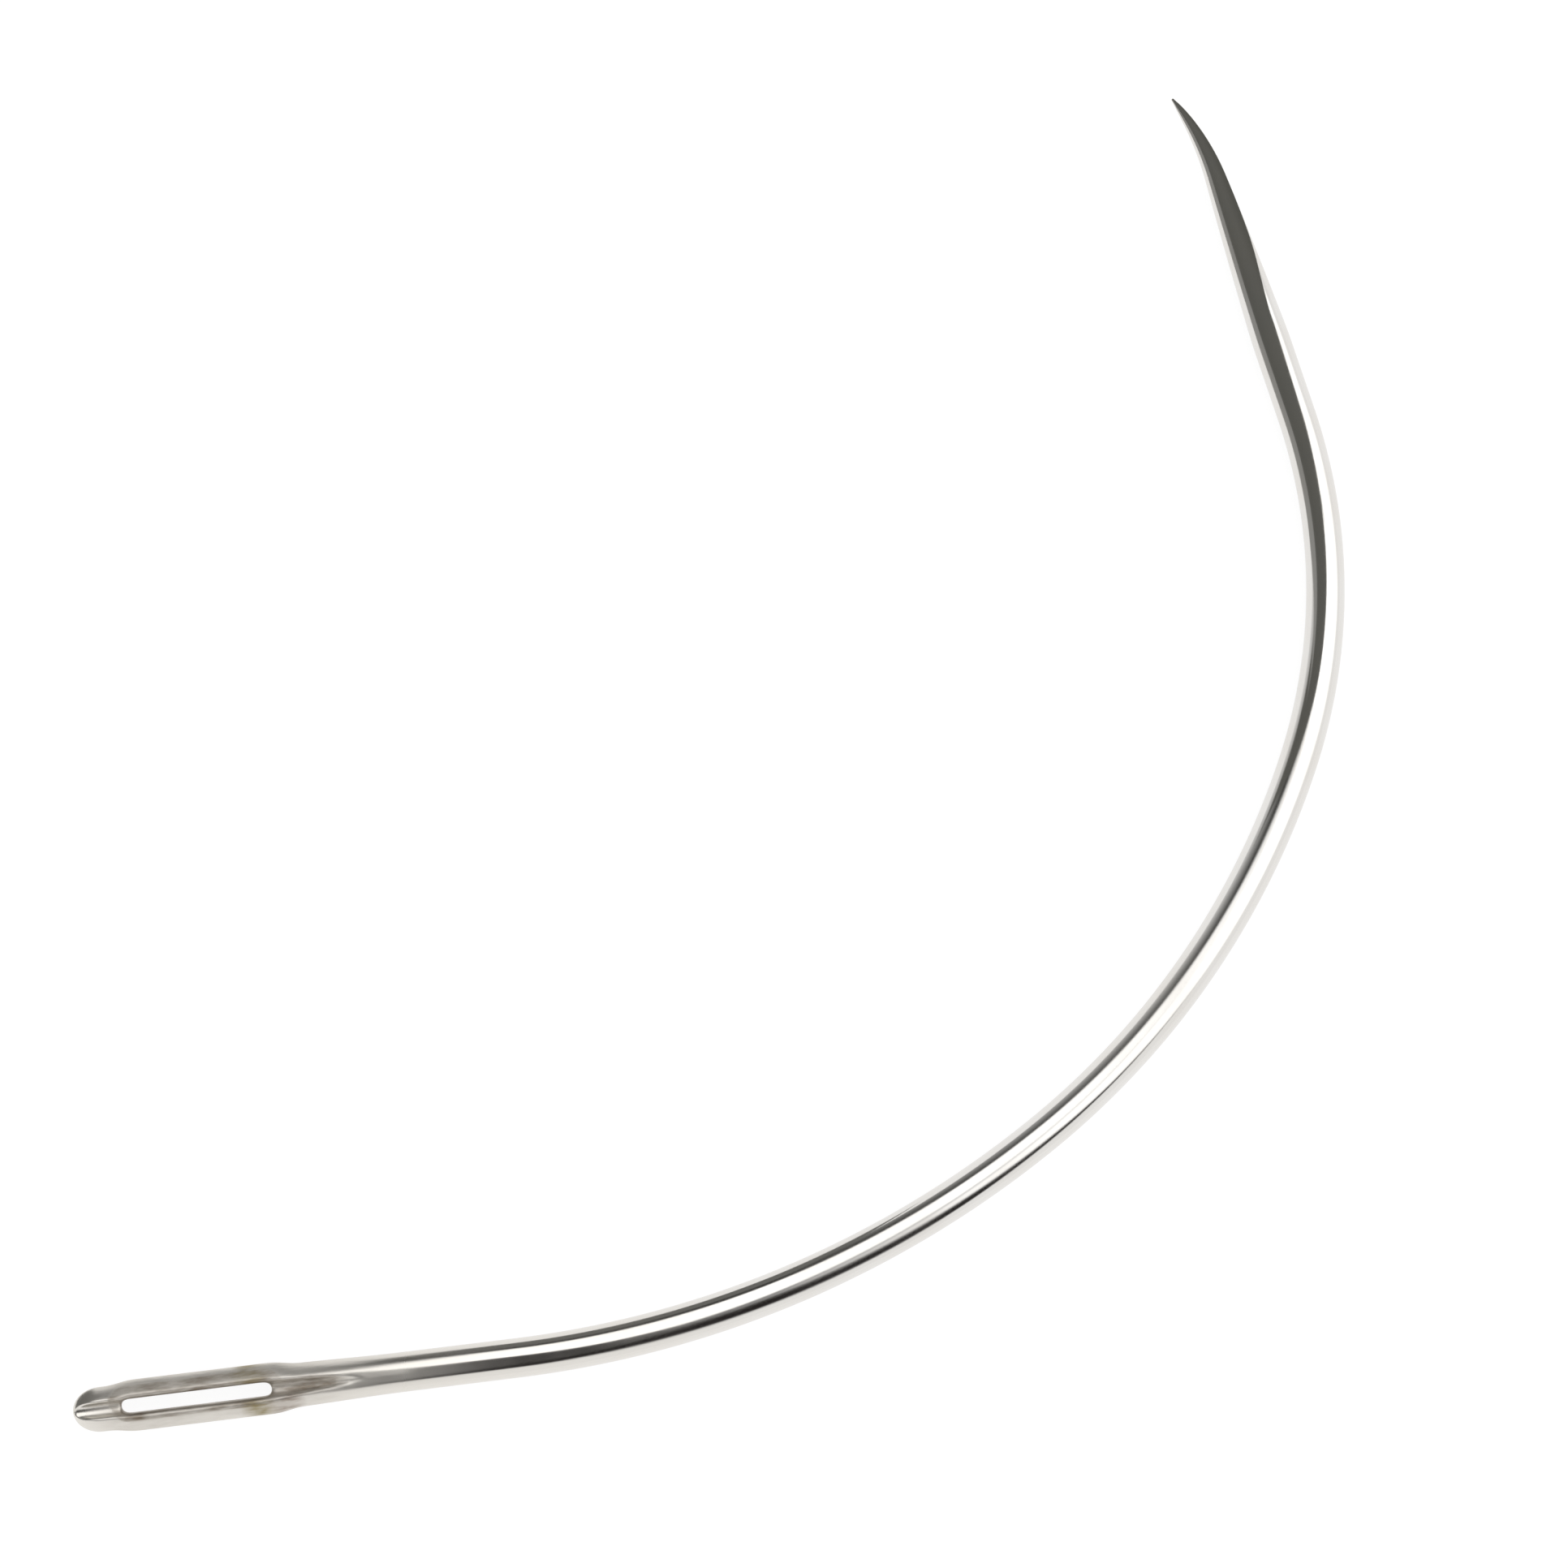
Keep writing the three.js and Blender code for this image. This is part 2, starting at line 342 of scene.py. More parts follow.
camera_ray, mirrored = ray_kinds(tree)
plain = (ROOM_LEVEL, ROOM_LEVEL, ROOM_LEVEL, 1)
to_metal = add_node(tree, "Mix", {"Factor": mirrored, "A": plain, "B": room}, data_type="RGBA")
to_all = add_node(tree, "Mix", {"Factor": camera_ray, "A": to_metal, "B": WHITE}, data_type="RGBA")
background = add_node(tree, "Background", {"Color": to_all, "Strength": 1})
add_node(tree, "OutputWorld", {"Surface": background})
print(f"the room lights plain surfaces at {ROOM_LEVEL}, and the lamps add the rest")

# %% [markdown]
# ## The lamps
# The soft boxes also light the needle, and the wire mirrors them as its brightest lines. Each is a
# disc lamp that faces the needle. Its direction and width come from its circle in the room, and its
# power from how bright its face should look, as a soft box is judged by eye.

# %% Soft boxes
LAMP_DISTANCE = 1.2
BOX_BRIGHTNESS = 0.5


def soft_box(name, middle, radius):
    """A disc lamp that faces the needle, at a circle of the room."""
    near = 2 * math.atan(middle.length - radius)
    far = 2 * math.atan(middle.length + radius)
    from_overhead = (near + far) / 2
    outward = Vector((middle.x, middle.y, 0)).normalized() * math.sin(from_overhead)
    heading = picture_to_part @ (outward + Vector((0, 0, math.cos(from_overhead))))
    lamp_data = bpy.data.lights.new(name, "AREA")
    lamp_data.shape = "DISK"
    lamp_data.size = 2 * LAMP_DISTANCE * math.tan((far - near) / 2)
    face_area = math.pi * (lamp_data.size / 2) ** 2
    lamp_data.energy = BOX_BRIGHTNESS * math.pi * face_area
    lamp = bpy.data.objects.new(name, lamp_data)
    lamp.location = aim + heading * LAMP_DISTANCE
    lamp.rotation_euler = heading.to_track_quat("Z", "Y").to_euler()
    lamp.visible_camera = False
    scene.collection.objects.link(lamp)
    print(f"{name}: {lamp_data.size:.2f} m across, {lamp_data.energy:.2f} W")


soft_box("top_soft_box", TOP_BOX, TOP_BOX_RADIUS + BOX_EDGE)
soft_box("right_soft_box", RIGHT_BOX, RIGHT_BOX_RADIUS + BOX_EDGE)

# %% [markdown]
# ## A dark card over the point
# A thin bright point would be lost on a white table, so a small dark card hangs close over it. The
# polished point mirrors the card and stands out dark. Only mirrored rays meet the card: it has no
# shadow and the camera looks through it. It could be painted on the room as well, but a card that is
# close by shows only in the wire next to it, as in the picture.

# %% Dark card
CARD_HEIGHT = 6 * MM
CARD_CORNER_PIXEL = Vector((1597, 950))
CARD_TURN = math.radians(-10.7)
CARD_WIDE = 12.5 * MM
CARD_LONG = 34 * MM
CARD_CORNER_ROUND = 5 * MM
CARD_CORNER_SEGMENTS = 8
CARD_COLOUR = "#5D5D59"


def from_picture(pixel):
    """The place on the table, in the part's frame, that shows at a pixel of the picture."""
    away = (pixel - ORIGIN_PIXEL) / PIXELS_PER_MM * MM
    return picture_to_part @ Vector((away.x, -away.y, 0))


def hang(name, sheet, colour):
    """Makes a sheet a card that only mirrored rays meet."""
    card_board = bpy.data.materials.new(name)
    tree = cleared(card_board)
    board = add_node(tree, "Emission", {"Color": linear(colour), "Strength": 1})
    add_node(tree, "OutputMaterial", {"Surface": board})
    card_mesh = bpy.data.meshes.new(name)
    sheet.to_mesh(card_mesh)
    sheet.free()
    card = bpy.data.objects.new(name, card_mesh)
    card.data.materials.append(card_board)
    card.visible_camera = False
    card.visible_diffuse = False
    card.visible_shadow = False
    scene.collection.objects.link(card)
    card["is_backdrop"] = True


sheet = square_sheet(1)
corner_at = Vector((-CARD_WIDE / 2, CARD_LONG / 2, CARD_HEIGHT))
bmesh.ops.scale(sheet, verts=sheet.verts, vec=(CARD_WIDE, CARD_LONG, 1))
bmesh.ops.translate(sheet, verts=sheet.verts, vec=corner_at)
corner = min(sheet.verts, key=lambda vert: vert.co.xy.length)
bmesh.ops.bevel(
    sheet,
    geom=[corner],
    offset=CARD_CORNER_ROUND,
    affect="VERTICES",
    segments=CARD_CORNER_SEGMENTS,
    profile=0.5,
    material=-1,
)
card_turned = picture_to_part.to_3x3() @ Matrix.Rotation(CARD_TURN, 3, "Z")
bmesh.ops.rotate(sheet, verts=sheet.verts, cent=(0, 0, 0), matrix=card_turned)
bmesh.ops.translate(sheet, verts=sheet.verts, vec=from_picture(CARD_CORNER_PIXEL))
hang("dark_card", sheet, CARD_COLOUR)
print(f"card {CARD_HEIGHT / MM:.0f} mm over the point")

# %% [markdown]
# ## Cards on edge
# Four more cards stand on edge beside the wire, where its sides mirror them. A dark one close to the
# outer side of the point keeps that side dark to its edge. A lighter one stands further off on the
# inner side, which turns from dark to pale there. A low one makes the shank's upper edge darker next to
# the head, and a small one gives the round end of the head its dark rim. A card whose top and foot
# differ in length has slanted ends, so the line that it makes on the wire tapers off. Each card was
# placed by rendering it and comparing the lines on the wire with the picture.

# %% Card on edge
UPRIGHT = Matrix.Rotation(math.radians(90), 3, "X")


def edge_card(name, colour, start_pixel, heading, aside, foot, top, foot_length, top_length):
    """A card on edge beside a line in the picture. Foot and top are heights, and all sizes are in mm."""
    sheet = square_sheet(1)
    bmesh.ops.scale(sheet, verts=sheet.verts, vec=(foot_length, top - foot, 1))
    top_edge = [vert for vert in sheet.verts if vert.co.y > 0]
    bmesh.ops.scale(sheet, verts=top_edge, vec=(top_length / foot_length, 1, 1))
    bmesh.ops.translate(sheet, verts=sheet.verts, vec=(foot_length / 2, (top + foot) / 2, 0))
    bmesh.ops.rotate(sheet, verts=sheet.verts, cent=(0, 0, 0), matrix=UPRIGHT)
    bmesh.ops.translate(sheet, verts=sheet.verts, vec=(0, aside, 0))
    bmesh.ops.scale(sheet, verts=sheet.verts, vec=(MM, MM, MM))
    turned = picture_to_part.to_3x3() @ Matrix.Rotation(heading, 3, "Z")
    bmesh.ops.rotate(sheet, verts=sheet.verts, cent=(0, 0, 0), matrix=turned)
    bmesh.ops.translate(sheet, verts=sheet.verts, vec=from_picture(start_pixel))
    hang(name, sheet, colour)
    print(f"{name}: {top - foot} mm high, {foot_length} mm long at its foot")


# %% Cards beside the point
POINT_HEADING = math.radians(108.8)
OUTER_CARD_PIXEL = Vector((1506, 244))
INNER_CARD_PIXEL = Vector((1622, 609))
GREY_CARD_COLOUR = "#969694"

edge_card(
    "outer_card",
    CARD_COLOUR,
    OUTER_CARD_PIXEL,
    POINT_HEADING,
    aside=-0.9,
    foot=0,
    top=6,
    foot_length=12,
    top_length=40,
)
edge_card(
    "inner_card",
    GREY_CARD_COLOUR,
    INNER_CARD_PIXEL,
    POINT_HEADING,
    aside=7.5,
    foot=1,
    top=8,
    foot_length=22,
    top_length=34,
)

# %% Cards beside the head
SHANK_HEADING = math.radians(13.2)
SHANK_CARD_PIXEL = Vector((413, 1701))
END_RIM_HEADING = math.radians(52)
END_CARD_PIXEL = Vector((69, 1756))
HEAD_CARD_COLOUR = "#70706E"

edge_card(
    "shank_card",
    HEAD_CARD_COLOUR,
    SHANK_CARD_PIXEL,
    SHANK_HEADING,
    aside=5,
    foot=0,
    top=3,
    foot_length=22,
    top_length=12,
)
edge_card(
    "end_card",
    HEAD_CARD_COLOUR,
    END_CARD_PIXEL,
    END_RIM_HEADING,
    aside=1.5,
    foot=0,
    top=2.5,
    foot_length=3,
    top_length=3,
)

# %% [markdown]
# ## The blank
# A needle starts as a straight length of wire, rounded at one end and pointed at the other. It is a
# turned shape, so its outline is drawn once, from one end to the other, and spun round the axis. The
# stations lie closer together where the outline curves more or where the head will be worked.

# %% Outline of the blank
END_RINGS = 10
HEAD_RING_STEP = 0.19
SHANK_RING_STEP = 0.65
POINT_RINGS = 26
TIP_RINGS = 4


def steps(start, end, count):
    """Evenly spaced values from start to end, both included."""
    return [start + (end - start) * i / count for i in range(count + 1)]


def spaced(start, end, step):
    """The same, no further apart than a step."""
    return steps(start, end, math.ceil((end - start) / step))


def blank_radius(x):
    """Radius of the straight blank at a distance from the end of the head."""
    taper = SHANK_DIAMETER_AT_POINT - SHANK_DIAMETER_AT_HEAD
    shank = (SHANK_DIAMETER_AT_HEAD + taper * x / POINT_START) / 2
    from_tip = WIRE_LENGTH - x
    if x < HEAD_END_ROUND:
        return shank * math.sqrt(1 - (1 - x / HEAD_END_ROUND) ** 2)
    if x < POINT_START:
        return shank
    if from_tip < TIP_RADIUS:
        return math.sqrt(max(0, from_tip * (2 * TIP_RADIUS - from_tip)))
    return max(TIP_RADIUS, SHANK_DIAMETER_AT_POINT / 2 * (from_tip / POINT_LENGTH) ** POINT_FULLNESS)


quarter = math.pi / 2
places = [HEAD_END_ROUND * (1 - math.cos(angle)) for angle in steps(0, quarter, END_RINGS)]
for start, end, step in [
    (HEAD_END_ROUND, EYE_FROM_END, HEAD_RING_STEP),
    (EYE_FROM_END, EYE_END, HEAD_RING_STEP),
    (EYE_END, HEAD_LENGTH, HEAD_RING_STEP),
    (HEAD_LENGTH, POINT_START, SHANK_RING_STEP),
]:
    places += spaced(start, end, step)[1:]
# Squaring the share crowds the point's stations towards the tip.
tapering = [TIP_RADIUS + (POINT_LENGTH - TIP_RADIUS) * t**2 for t in steps(1, 0, POINT_RINGS)]
rounding = [TIP_RADIUS * (1 - math.cos(angle)) for angle in steps(quarter, 0, TIP_RINGS)]
places += [WIRE_LENGTH - from_tip for from_tip in tapering[1:] + rounding[1:]]
print(f"outline of {len(places)} stations")

# %% Blank, spun from the outline
SIDES = 64
# Points nearer to each other than this are one, as where the outline meets the axis.
WELD = 1e-4

needle_form = bmesh.new()
outline = [needle_form.verts.new((x, blank_radius(x), 0)) for x in places]
lines = [needle_form.edges.new(ends) for ends in pairwise(outline)]
bmesh.ops.spin(
    needle_form,
    geom=outline + lines,
    cent=(0, 0, 0),
    axis=(1, 0, 0),
    steps=SIDES,
    angle=math.tau,
    use_merge=True,
)
bmesh.ops.remove_doubles(needle_form, verts=needle_form.verts, dist=WELD)
print(f"blank of {len(needle_form.faces)} faces")

# %% [markdown]
# ## The pressed head
# The head is squeezed between two dies. The metal has to go somewhere, so it gets wider as it gets
# flatter, and piercing the eye pushes the two rails apart a little more. Both are moves of the blank's
# own vertices. The dies leave the crest of each face flat and its flanks falling away to the sides, so
# the round section is drawn towards a lozenge. The corners are soft, because needles are tumbled in
# polishing stones and no edge stays sharp. Beyond the pressing, a faint flat runs on along the shank and
# leans a little to one side. It is too slight to feel, but it draws the mirrored lines together there.


# %% Shape of the pressed head
def smooth(x, start, end):
    """Rises smoothly from 0 at start to 1 at end."""
    t = min(max((x - start) / (end - start), 0), 1)
    return t * t * (3 - 2 * t)


def mix(a, b, t):
    """The value a share t of the way from a to b."""
    return a + (b - a) * t


def spread(x):
    """How many times wider the head is than the wire it was pressed from."""
    pressed = 1 - smooth(x, EYE_END, HEAD_LENGTH)
    rise = smooth(x, EYE_FROM_END - RAIL_BULGE_RAMP / 2, EYE_FROM_END + RAIL_BULGE_RAMP / 2)
    fall = smooth(x, EYE_END, EYE_END + RAIL_BULGE_RAMP)
    width = mix(SHANK_DIAMETER_AT_HEAD, HEAD_WIDTH, pressed) + 2 * RAIL_BULGE * (rise - fall)
    return width / SHANK_DIAMETER_AT_HEAD


FAINT_FLAT_DEPTH = 0.04
FAINT_FLAT_END = 28


def face_height(x):
    """Height of a pressed face from the axis: level along the eye, then running out to a faint flat."""
    faint = FAINT_FLAT_DEPTH * (1 - smooth(x, HEAD_LENGTH, FAINT_FLAT_END))
    run_out = smooth(x, EYE_END, HEAD_LENGTH)
    return mix(HEAD_THICKNESS / 2, SHANK_DIAMETER_AT_HEAD / 2 - faint, run_out)


# The section follows a power: 2 makes it round, and 1 would make a lozenge with straight sides.
ROUND = 2
LOZENGE = 1.28
CREST = 0.7


def flank_height(x, y):
    """Height of the head's flank at a place across the blank, from round wire to a lozenge."""
    radius = blank_radius(x)
    fallen = 1 - smooth(x, EYE_END, HEAD_LENGTH)
    power = mix(ROUND, LOZENGE, fallen)
    crest = radius * mix(1, CREST / (SHANK_DIAMETER_AT_HEAD / 2), fallen)
    across = min(abs(y) / radius, 1) if radius > 0 else 1
    return crest * (1 - across**power) ** (1 / power)


print(f"head {spread(EYE_END):.2f} times as wide as the wire at the end of the eye")

# %% Spread and press
PRESSED_EDGE = 0.05
FACE_LEAN = math.radians(4.2)


def soft_min(a, b, reach):
    """The smaller of two values, with a round corner where they are within reach of each other."""
    near = max(reach - abs(a - b), 0) / reach if reach > 0 else 0
    return min(a, b) - near * near * reach / 4


head_verts = [vert for vert in needle_form.verts if vert.co.x < FAINT_FLAT_END]
for vert in head_verts:
    x, y, z = vert.co
    edge = PRESSED_EDGE * (1 - smooth(x, EYE_END, HEAD_LENGTH))
    leaning = face_height(x) + math.copysign(1, z) * y * math.tan(FACE_LEAN)
    vert.co.y = y * spread(x)
    vert.co.z = math.copysign(soft_min(flank_height(x, y), leaning, edge), z)
print(f"head up to {2 * max(vert.co.y for vert in head_verts):.2f} mm wide, {HEAD_THICKNESS} mm thick")

# %% [markdown]
# ## The eye
# The eye is a long slot with round ends. A boolean cut would leave ragged faces that a mirror finish
# shows up, so the faces over the slot are taken out along the grid, the rims that are left are
# drawn onto the slot's true outline, and a wall is bridged from one rim to the other.

# %% Slot with round ends
EYE_RADIUS = EYE_WIDTH / 2


def from_eye_line(x, y):
    """Offset from the nearest point of the eye's middle line."""
    middle = min(max(x, EYE_FROM_END + EYE_RADIUS), EYE_END - EYE_RADIUS)
    return Vector((x - middle, y))


over_slot = []
for face in needle_form.faces:
    middle = face.calc_center_median()
    if EYE_FROM_END < middle.x < EYE_END and abs(middle.y) < EYE_RADIUS:
        over_slot.append(face)
bmesh.ops.delete(needle_form, geom=over_slot, context="FACES")
rims = [edge for edge in needle_form.edges if edge.is_boundary]
for vert in {vert for edge in rims for vert in edge.verts}:
    away = from_eye_line(vert.co.x, vert.co.y)
    drawn_in = away.normalized() * EYE_RADIUS - away
    vert.co.x += drawn_in.x
    vert.co.y += drawn_in.y
print(f"{len(over_slot)} faces cut, rims of {len(rims)} edges")

# %% [markdown]
# ## Gutters and sloped edges
# In line with the eye, each face has a half-round groove that the thread sinks into. It runs out over
# the closed end of the head, and beyond the eye it narrows and rises out of the face. The eye's rims
# are sloped so that they don't cut the thread. Groove and slope only lower the faces, so each vertex
# takes the lowest of the pressed face, the groove and the slope.

# %% Gutters and slopes
SLOPE_CORNER = 0.05


def gutter_section(x):
    """Radius of the groove, and how far its axis has risen over the face."""
    end = HEAD_LENGTH - GUTTER_STOPS_SHORT
    outward = max(0, (x - EYE_END) / (end - EYE_END))
    return GUTTER_WIDTH / 2 * max(0, 1 - outward**2), GUTTER_RISE * outward


worked = [vert for vert in needle_form.verts if vert.co.x < HEAD_LENGTH]
for vert in worked:
    x, y, z = vert.co
    radius, rise = gutter_section(x)
    depth = math.sqrt(max(0, radius**2 - y**2)) - rise
    on_slope = from_eye_line(x, y).length - EYE_RADIUS - EYE_SLOPE
    lowered = min(abs(z), face_height(x) - max(0, depth))
    vert.co.z = math.copysign(soft_min(lowered, face_height(x) + on_slope, SLOPE_CORNER), z)
print(f"gutters {GUTTER_WIDTH} mm and slopes {EYE_SLOPE} mm wide, over {len(worked)} vertices")

# %% Wall of the eye
WALL_CUTS = 2

rims = [edge for edge in needle_form.edges if edge.is_boundary]
wall = bmesh.ops.bridge_loops(needle_form, edges=rims)
bmesh.ops.subdivide_edges(needle_form, edges=wall["edges"], cuts=WALL_CUTS, use_grid_fill=True)
bmesh.ops.recalc_face_normals(needle_form, faces=needle_form.faces)
open_edges = [edge for edge in needle_form.edges if not edge.is_manifold]
print(f"wall bridged with {len(wall['faces'])} faces, {len(open_edges)} open edges left")

# %% [markdown]
# ## Smoothing, while it is straight
# One level of Subdivision Surface rounds the facets. It is worked out now, on the straight blank, so
# that each point can keep its straight place as an attribute: the polishing lines will follow it round
# the bends, as they do on a wire that was polished before it was bent.

# %% Smooth blank
SMOOTHING_LEVELS = 1

straight_mesh = bpy.data.meshes.new("straight_needle")
needle_form.to_mesh(straight_mesh)
needle_form.free()
straight = bpy.data.objects.new("straight_needle", straight_mesh)
scene.collection.objects.link(straight)
smoothing = straight.modifiers.new("smoothing", "SUBSURF")
smoothing.levels = SMOOTHING_LEVELS
smoothing.render_levels = SMOOTHING_LEVELS
depsgraph = bpy.context.evaluated_depsgraph_get()
needle_mesh = bpy.data.meshes.new_from_object(straight.evaluated_get(depsgraph))
bpy.data.objects.remove(straight)
needle_mesh.name = "needle"
needle_mesh.shade_smooth()
print(f"smooth blank of {len(needle_mesh.polygons)} faces")

# %% [markdown]
# ## Where the finish is dull
# Tumbling and buffing reach the shank and the point best. The head stays duller on its flanks, and
# dullest round the eye and in the gutters, where a brown film is left. On this needle the film reaches
# further over the rail on the inside of the curve than over the other. How dull a place is could be
# painted by hand. Working it out from the shape is shorter, and it follows the eye if the eye is moved.

# %% Dull places
FLANK_DULLNESS = 0.7
INNER_FILM_REACH = 0.48
OUTER_FILM_REACH = 0.26
FILM_FADE = 0.16
GUTTER_FILM_FADE = 0.32
NARROW_GUTTER = 0.2
CLOSED_END_HALF = EYE_FROM_END / 2
BUFFED_FROM = 24
BUFFING_POWER = 2.5


def gutter_half_width(x):
    """Half the width of the groove where it meets the face, 0 beyond its ends."""
    radius, rise = gutter_section(x)
    return math.sqrt(max(0, radius**2 - rise**2))


def dull_share(x, y):
    """How little of the buffing reached a place: all dull by the eye, less on the flanks, none beyond."""
    half_width = gutter_half_width(x)
    from_edge = from_eye_line(x, y).length - EYE_RADIUS
    reach = mix(OUTER_FILM_REACH, INNER_FILM_REACH, smooth(y, -EYE_RADIUS, EYE_RADIUS))
    by_eye = 1 - smooth(from_edge, reach, reach + FILM_FADE)
    in_gutter = 1 - smooth(abs(y) - half_width, 0, GUTTER_FILM_FADE)
    in_gutter *= smooth(half_width, 0, NARROW_GUTTER) * smooth(x, CLOSED_END_HALF, EYE_FROM_END)
    on_head = smooth(x, -CLOSED_END_HALF, EYE_FROM_END)
    on_head *= (1 - smooth(x, EYE_END, BUFFED_FROM)) ** BUFFING_POWER
    return max(by_eye, in_gutter, on_head * FLANK_DULLNESS)


dull_at_end = dull_share(HEAD_LENGTH, 0)
print(f"dull share {dull_share(EYE_END, 0)} at the eye, {dull_at_end:.2f} where the head ends")

# %% [markdown]
# ## Bending it
# The wire is bent last, as the real one is. Each point is carried to the place on the bent centreline
# that it had along the straight one, and turned with the wire there. The needle is then laid with its
# chord along X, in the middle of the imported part's box. A smooth needle can be a hair longer than the
# faceted solids, so it is scaled by that hair to stay inside the box.


# %% Centreline
def centreline(distance):
    """Where the bent centreline is, and its heading, at a distance along the wire."""
    at = Vector((0, 0))
    heading = 0
    for length, turn in STRETCHES:
        walked = min(max(distance, 0), length)
        half = math.radians(turn) * walked / length / 2
        chord = walked * math.sin(half) / half if half else walked
        at += chord * Vector((math.cos(heading + half), math.sin(heading + half)))
        heading += 2 * half
        distance -= walked
    return at, heading


tip = centreline(WIRE_LENGTH)[0]
chord_angle = math.atan2(tip.y, tip.x)
print(f"chord of {tip.length:.1f} mm")

# %% Bent and laid down
bent = bmesh.new()
bent.from_mesh(needle_mesh)
blank_place = bent.verts.layers.float_vector.new("blank_place")
dull = bent.verts.layers.float.new("dull")
for vert in bent.verts:
    vert[blank_place] = vert.co
    vert[dull] = dull_share(vert.co.x, vert.co.y)
    at, heading = centreline(vert.co.x)
    sideways = Vector((-math.sin(heading), math.cos(heading))) * vert.co.y
    vert.co.xy = at + sideways
bmesh.ops.rotate(bent, verts=bent.verts, cent=(0, 0, 0), matrix=Matrix.Rotation(-chord_angle, 3, "Z"))
low = Vector([min(vert.co[axis] for vert in bent.verts) for axis in range(3)])
high = Vector([max(vert.co[axis] for vert in bent.verts) for axis in range(3)])
room_for_it = [room_side / side for room_side, side in zip(cad_box[1] - cad_box[0], high - low)]
fit = min(MM, *room_for_it)
bmesh.ops.scale(bent, verts=bent.verts, vec=(fit, fit, fit))
to_frame = (cad_box[0] + cad_box[1] - (low + high) * fit) / 2
bmesh.ops.translate(bent, verts=bent.verts, vec=to_frame)
bent.to_mesh(needle_mesh)
bent.free()
needle = bpy.data.objects.new("needle", needle_mesh)
scene.collection.objects.link(needle)
print("needle laid down", [round(side, 2) for side in high - low], "mm")

# %% [markdown]
# ## Nickel-plated steel
# The wire is carbon steel with a bright nickel plate, tumbled and buffed along its length. That gives
# the eye a clear mirror with a warm grey cast, faint clouds in it, and fine lines along the wire. The
# head was pressed and heated, so it is duller, with a straw tint that fades along the shank, shallow
# marks of the dies, a streaky brown film by the eye, and a few olive and brown spots on the rails near
# the far end of the eye. All patterns read the place that a point had on the straight blank, so they
# run along the wire round every bend.

# %% Plate with a straw tint
NICKEL = "#E3E2E0"
NICKEL_WARM = "#DCD8D2"
STRAW = "#DEDAD3"
STRAW_END = 30
CLOUD_SIZE = 2.5
CLOUD_DETAIL = 4

plating = bpy.data.materials.new("nickel_plated_steel")
tree = cleared(plating)
place = add_node(tree, "Attribute", attribute_name="blank_place").outputs["Vector"]
dulled = add_node(tree, "Attribute", attribute_name="dull").outputs["Fac"]
cloud_noise = {"Vector": place, "Scale": 1 / CLOUD_SIZE, "Detail": CLOUD_DETAIL}
clouds = add_node(tree, "TexNoise", cloud_noise)
two_nickels = {"Factor": clouds, "A": linear(NICKEL), "B": linear(NICKEL_WARM)}
clouded = add_node(tree, "Mix", two_nickels, data_type="RGBA")
from_head = add_node(tree, "SeparateXYZ", {0: place}).outputs["X"]
heated = add_node(tree, "MapRange", {"Value": from_head, "From Min": STRAW_END, "From Max": HEAD_LENGTH})
tint = add_node(tree, "Mix", {"Factor": heated, "A": clouded, "B": linear(STRAW)}, data_type="RGBA")
print("clouds", CLOUD_SIZE, "mm across, straw tint to", STRAW_END, "mm from the end of the head")

# %% Film by the eye
FILM = "#85796A"
FILM_SIZE = 0.35
FILM_RUN = 1.4
FILM_DETAIL = 3
FILM_BREAK_UP = 0.6
FILM_THIN_AT = 0.4
FILM_THICK_AT = 0.7
FILM_LEAST = 0.3
FILM_POWER = 4

streaks = (1 / FILM_RUN, 1 / FILM_SIZE, 1 / FILM_SIZE)
smear = add_node(tree, "Mapping", {"Vector": place, "Scale": streaks})
film_noise = {"Vector": smear, "Scale": 1, "Detail": FILM_DETAIL, "Roughness": FILM_BREAK_UP}
patches = add_node(tree, "TexNoise", film_noise)
film_range = {
    "Value": patches,
    "From Min": FILM_THIN_AT,
    "From Max": FILM_THICK_AT,
    "To Min": FILM_LEAST,
    "To Max": 1,
}
patchy = add_node(tree, "MapRange", film_range)
unreached = add_node(tree, "Math", {0: dulled, 1: FILM_POWER}, operation="POWER")
film = add_node(tree, "Math", {0: unreached, 1: patchy}, operation="MULTIPLY")
colour = add_node(tree, "Mix", {"Factor": film, "A": tint, "B": linear(FILM)}, data_type="RGBA")
print("film in streaks of", FILM_RUN, "by", FILM_SIZE, "mm")

# %% Olive and brown spots
OLIVE = "#8A7D55"
BROWN = "#7C6A5C"
# A few olive and brown spots on the rails near the far end of the eye.
OLIVE_AND_BROWN_SPOTS = [
    (OLIVE, Vector((7.1, -0.7, 0.3))),
    (BROWN, Vector((8.1, -0.6, 0.3))),
    (OLIVE, Vector((6.8, 0.65, 0.3))),
]
SPOT_RADIUS = 0.8
SPOT_CORE = 0.2

for olive_brown, middle in OLIVE_AND_BROWN_SPOTS:
    away = add_node(tree, "VectorMath", {0: place, 1: middle}, operation="DISTANCE")
    near = add_node(tree, "MapRange", {"Value": away, "From Min": SPOT_RADIUS, "From Max": SPOT_CORE})
    spot_share = add_node(tree, "Math", {0: near, 1: patchy}, operation="MULTIPLY")
    spotted = {"Factor": spot_share, "A": colour, "B": linear(olive_brown)}
    colour = add_node(tree, "Mix", spotted, data_type="RGBA")
print(len(OLIVE_AND_BROWN_SPOTS), "spots of tarnish,", SPOT_RADIUS, "mm in radius")

# %% Gloss
BRIGHT_ROUGHNESS = 0.1
CLOUD_ROUGHNESS = 0.1
DULL_ROUGHNESS = 0.5

